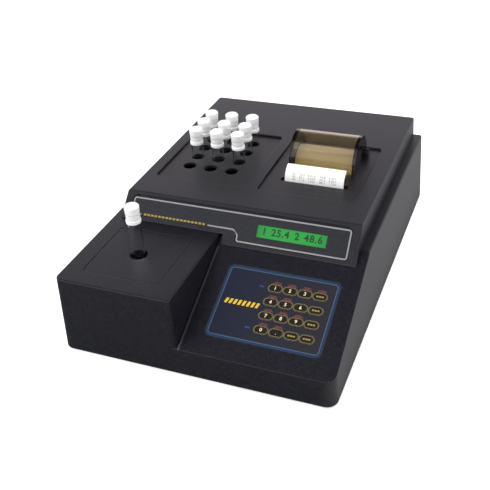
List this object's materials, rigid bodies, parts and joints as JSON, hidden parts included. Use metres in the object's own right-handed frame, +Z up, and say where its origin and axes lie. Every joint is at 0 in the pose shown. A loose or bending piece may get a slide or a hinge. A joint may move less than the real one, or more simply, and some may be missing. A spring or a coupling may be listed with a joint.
{
  "type": "semi-automatic biochemistry analyzer",
  "caption": "Bench analyzer: stepped case with keypad deck, tilt-back cover with display, tube incubator and strip printer under a hood, and a capped photometer tube.",
  "frame": {"origin": "centre of the bounding box's underside, on the bench under the middle of the case", "axes": "+X to the operator's right, +Y to the back, +Z up"},
  "size_m": [0.252, 0.357, 0.1261],
  "materials": {
    "case_plastic": "satin dark moulded plastic",
    "cover_plastic": "satin dark moulded plastic",
    "tray_plastic": "satin dark moulded plastic",
    "plate_steel": "dark painted sheet",
    "rubber": "matt black",
    "steel": "bright zinc",
    "overlay": "printed polyester film",
    "display": "green back-lit display",
    "keypad_film": "printed film, dark blue",
    "key_plastic": "printed film keys with gold outlines",
    "aluminium": "machined",
    "glass": "clear",
    "cap_white": "white moulded",
    "wheel_black": "black anodised with filters",
    "motor": "plain metal can",
    "frame_plastic": "black moulded",
    "roller": "black rubber roller",
    "paper": "white thermal paper",
    "hood_smoke": "smoked see-through plastic",
    "board": "green circuit board",
    "core": "lacquered laminated core",
    "black_plastic": "black moulded",
    "switch_plastic": "black moulded"
  },
  "bodies": {
    "case": {"base_shell": "case_plastic", "base_plate": "plate_steel", "rubber_feet": "rubber", "screws_and_pins": "steel", "keypad_overlay": "keypad_film", "photometer_blocks": "aluminium", "filter_motor": "motor", "main_board": "board", "power_transformer": "core", "power_inlet": "black_plastic"},
    "cover": {"top_lid": "cover_plastic", "incubator_tray": "tray_plastic", "printer_tray": "tray_plastic", "fascia_overlay": "overlay", "lcd_module": "display", "incubator_block": "aluminium", "printer_frame": "frame_plastic", "paper_strip": "paper"},
    "photometer_lid": {"photometer_cover": "case_plastic"},
    "hood": {"printer_hood": "hood_smoke"},
    "roll": {"paper_roll": "paper"},
    "platen": {"platen_roller": "roller"},
    "wheel": {"filter_wheel": "wheel_black"},
    "rocker": {"power_switch": "switch_plastic"},
    "tube_p": {"photometer_tube": "glass"},
    "cap_p": {"photometer_cap": "cap_white"},
    "tube_1": {"incubator_tube_1": "glass"},
    "cap_1": {"incubator_cap_1": "cap_white"},
    "tube_2": {"incubator_tube_2": "glass"},
    "cap_2": {"incubator_cap_2": "cap_white"},
    "tube_3": {"incubator_tube_3": "glass"},
    "cap_3": {"incubator_cap_3": "cap_white"},
    "tube_4": {"incubator_tube_4": "glass"},
    "cap_4": {"incubator_cap_4": "cap_white"},
    "tube_5": {"incubator_tube_5": "glass"},
    "cap_5": {"incubator_cap_5": "cap_white"},
    "tube_6": {"incubator_tube_6": "glass"},
    "cap_6": {"incubator_cap_6": "cap_white"},
    "tube_7": {"incubator_tube_7": "glass"},
    "cap_7": {"incubator_cap_7": "cap_white"},
    "tube_8": {"incubator_tube_8": "glass"},
    "cap_8": {"incubator_cap_8": "cap_white"},
    "tube_9": {"incubator_tube_9": "glass"},
    "cap_9": {"incubator_cap_9": "cap_white"},
    "key_01_body": {"key_01": "key_plastic"},
    "key_02_body": {"key_02": "key_plastic"},
    "key_03_body": {"key_03": "key_plastic"},
    "key_04_body": {"key_04": "key_plastic"},
    "key_05_body": {"key_05": "key_plastic"},
    "key_06_body": {"key_06": "key_plastic"},
    "key_07_body": {"key_07": "key_plastic"},
    "key_08_body": {"key_08": "key_plastic"},
    "key_09_body": {"key_09": "key_plastic"},
    "key_10_body": {"key_10": "key_plastic"},
    "key_11_body": {"key_11": "key_plastic"},
    "key_12_body": {"key_12": "key_plastic"},
    "key_13_body": {"key_13": "key_plastic"},
    "key_14_body": {"key_14": "key_plastic"},
    "key_15_body": {"key_15": "key_plastic"},
    "key_16_body": {"key_16": "key_plastic"}
  },
  "joints": [
    {"name": "cover_hinge", "type": "hinge", "parent": "case", "child": "cover", "pos_m": [0, 0.17539, 0.0755], "axis": [-1, 0, 0], "range_deg": [0, 75]},
    {"name": "photometer_cover_lift", "type": "slide", "parent": "case", "child": "photometer_lid", "axis": [0, 0, 1], "range_m": [0, 0.03]},
    {"name": "hood_hinge", "type": "hinge", "parent": "cover", "child": "hood", "pos_m": [0.0515, 0.076, 0.0983], "axis": [-1, 0, 0], "range_deg": [0, 90]},
    {"name": "paper_roll_spin", "type": "hinge", "parent": "cover", "child": "roll", "pos_m": [0.0515, 0.0565, 0.0881], "axis": [1, 0, 0], "continuous": true},
    {"name": "platen_spin", "type": "hinge", "parent": "cover", "child": "platen", "pos_m": [0.0515, 0.0145, 0.0818], "axis": [1, 0, 0], "continuous": true},
    {"name": "filter_wheel_spin", "type": "hinge", "parent": "case", "child": "wheel", "pos_m": [-0.05557, -0.1013, 0.04156], "axis": [0, 1, 0], "continuous": true},
    {"name": "power_rocker", "type": "hinge", "parent": "case", "child": "rocker", "pos_m": [-0.092, 0.17478, 0.02989], "axis": [1, 0, 0], "range_deg": [0, 24]},
    {"name": "photometer_tube_lift", "type": "slide", "parent": "case", "child": "tube_p", "axis": [0, 0, 1], "range_m": [0, 0.065]},
    {"name": "photometer_cap_pull", "type": "slide", "parent": "tube_p", "child": "cap_p", "axis": [0, 0, 1], "range_m": [0, 0.012]},
    {"name": "tube_1_lift", "type": "slide", "parent": "cover", "child": "tube_1", "axis": [0, 0, 1], "range_m": [0, 0.065]},
    {"name": "cap_1_pull", "type": "slide", "parent": "tube_1", "child": "cap_1", "axis": [0, 0, 1], "range_m": [0, 0.012]},
    {"name": "tube_2_lift", "type": "slide", "parent": "cover", "child": "tube_2", "axis": [0, 0, 1], "range_m": [0, 0.065]},
    {"name": "cap_2_pull", "type": "slide", "parent": "tube_2", "child": "cap_2", "axis": [0, 0, 1], "range_m": [0, 0.012]},
    {"name": "tube_3_lift", "type": "slide", "parent": "cover", "child": "tube_3", "axis": [0, 0, 1], "range_m": [0, 0.065]},
    {"name": "cap_3_pull", "type": "slide", "parent": "tube_3", "child": "cap_3", "axis": [0, 0, 1], "range_m": [0, 0.012]},
    {"name": "tube_4_lift", "type": "slide", "parent": "cover", "child": "tube_4", "axis": [0, 0, 1], "range_m": [0, 0.065]},
    {"name": "cap_4_pull", "type": "slide", "parent": "tube_4", "child": "cap_4", "axis": [0, 0, 1], "range_m": [0, 0.012]},
    {"name": "tube_5_lift", "type": "slide", "parent": "cover", "child": "tube_5", "axis": [0, 0, 1], "range_m": [0, 0.065]},
    {"name": "cap_5_pull", "type": "slide", "parent": "tube_5", "child": "cap_5", "axis": [0, 0, 1], "range_m": [0, 0.012]},
    {"name": "tube_6_lift", "type": "slide", "parent": "cover", "child": "tube_6", "axis": [0, 0, 1], "range_m": [0, 0.065]},
    {"name": "cap_6_pull", "type": "slide", "parent": "tube_6", "child": "cap_6", "axis": [0, 0, 1], "range_m": [0, 0.012]},
    {"name": "tube_7_lift", "type": "slide", "parent": "cover", "child": "tube_7", "axis": [0, 0, 1], "range_m": [0, 0.065]},
    {"name": "cap_7_pull", "type": "slide", "parent": "tube_7", "child": "cap_7", "axis": [0, 0, 1], "range_m": [0, 0.012]},
    {"name": "tube_8_lift", "type": "slide", "parent": "cover", "child": "tube_8", "axis": [0, 0, 1], "range_m": [0, 0.065]},
    {"name": "cap_8_pull", "type": "slide", "parent": "tube_8", "child": "cap_8", "axis": [0, 0, 1], "range_m": [0, 0.012]},
    {"name": "tube_9_lift", "type": "slide", "parent": "cover", "child": "tube_9", "axis": [0, 0, 1], "range_m": [0, 0.065]},
    {"name": "cap_9_pull", "type": "slide", "parent": "tube_9", "child": "cap_9", "axis": [0, 0, 1], "range_m": [0, 0.012]},
    {"name": "key_01_press", "type": "slide", "parent": "case", "child": "key_01_body", "axis": [0, 0.3764, -0.9264], "range_m": [0, 0.0005], "stiffness_N_per_m": 300},
    {"name": "key_02_press", "type": "slide", "parent": "case", "child": "key_02_body", "axis": [0, 0.3764, -0.9264], "range_m": [0, 0.0005], "stiffness_N_per_m": 300},
    {"name": "key_03_press", "type": "slide", "parent": "case", "child": "key_03_body", "axis": [0, 0.3764, -0.9264], "range_m": [0, 0.0005], "stiffness_N_per_m": 300},
    {"name": "key_04_press", "type": "slide", "parent": "case", "child": "key_04_body", "axis": [0, 0.3764, -0.9264], "range_m": [0, 0.0005], "stiffness_N_per_m": 300},
    {"name": "key_05_press", "type": "slide", "parent": "case", "child": "key_05_body", "axis": [0, 0.3764, -0.9264], "range_m": [0, 0.0005], "stiffness_N_per_m": 300},
    {"name": "key_06_press", "type": "slide", "parent": "case", "child": "key_06_body", "axis": [0, 0.3764, -0.9264], "range_m": [0, 0.0005], "stiffness_N_per_m": 300},
    {"name": "key_07_press", "type": "slide", "parent": "case", "child": "key_07_body", "axis": [0, 0.3764, -0.9264], "range_m": [0, 0.0005], "stiffness_N_per_m": 300},
    {"name": "key_08_press", "type": "slide", "parent": "case", "child": "key_08_body", "axis": [0, 0.3764, -0.9264], "range_m": [0, 0.0005], "stiffness_N_per_m": 300},
    {"name": "key_09_press", "type": "slide", "parent": "case", "child": "key_09_body", "axis": [0, 0.3764, -0.9264], "range_m": [0, 0.0005], "stiffness_N_per_m": 300},
    {"name": "key_10_press", "type": "slide", "parent": "case", "child": "key_10_body", "axis": [0, 0.3764, -0.9264], "range_m": [0, 0.0005], "stiffness_N_per_m": 300},
    {"name": "key_11_press", "type": "slide", "parent": "case", "child": "key_11_body", "axis": [0, 0.3764, -0.9264], "range_m": [0, 0.0005], "stiffness_N_per_m": 300},
    {"name": "key_12_press", "type": "slide", "parent": "case", "child": "key_12_body", "axis": [0, 0.3764, -0.9264], "range_m": [0, 0.0005], "stiffness_N_per_m": 300},
    {"name": "key_13_press", "type": "slide", "parent": "case", "child": "key_13_body", "axis": [0, 0.3764, -0.9264], "range_m": [0, 0.0005], "stiffness_N_per_m": 300},
    {"name": "key_14_press", "type": "slide", "parent": "case", "child": "key_14_body", "axis": [0, 0.3764, -0.9264], "range_m": [0, 0.0005], "stiffness_N_per_m": 300},
    {"name": "key_15_press", "type": "slide", "parent": "case", "child": "key_15_body", "axis": [0, 0.3764, -0.9264], "range_m": [0, 0.0005], "stiffness_N_per_m": 300},
    {"name": "key_16_press", "type": "slide", "parent": "case", "child": "key_16_body", "axis": [0, 0.3764, -0.9264], "range_m": [0, 0.0005], "stiffness_N_per_m": 300}
  ],
  "couplings": [
    {"joint": "platen_spin", "follows": "paper_roll_spin", "ratio": 3.1667}
  ]
}
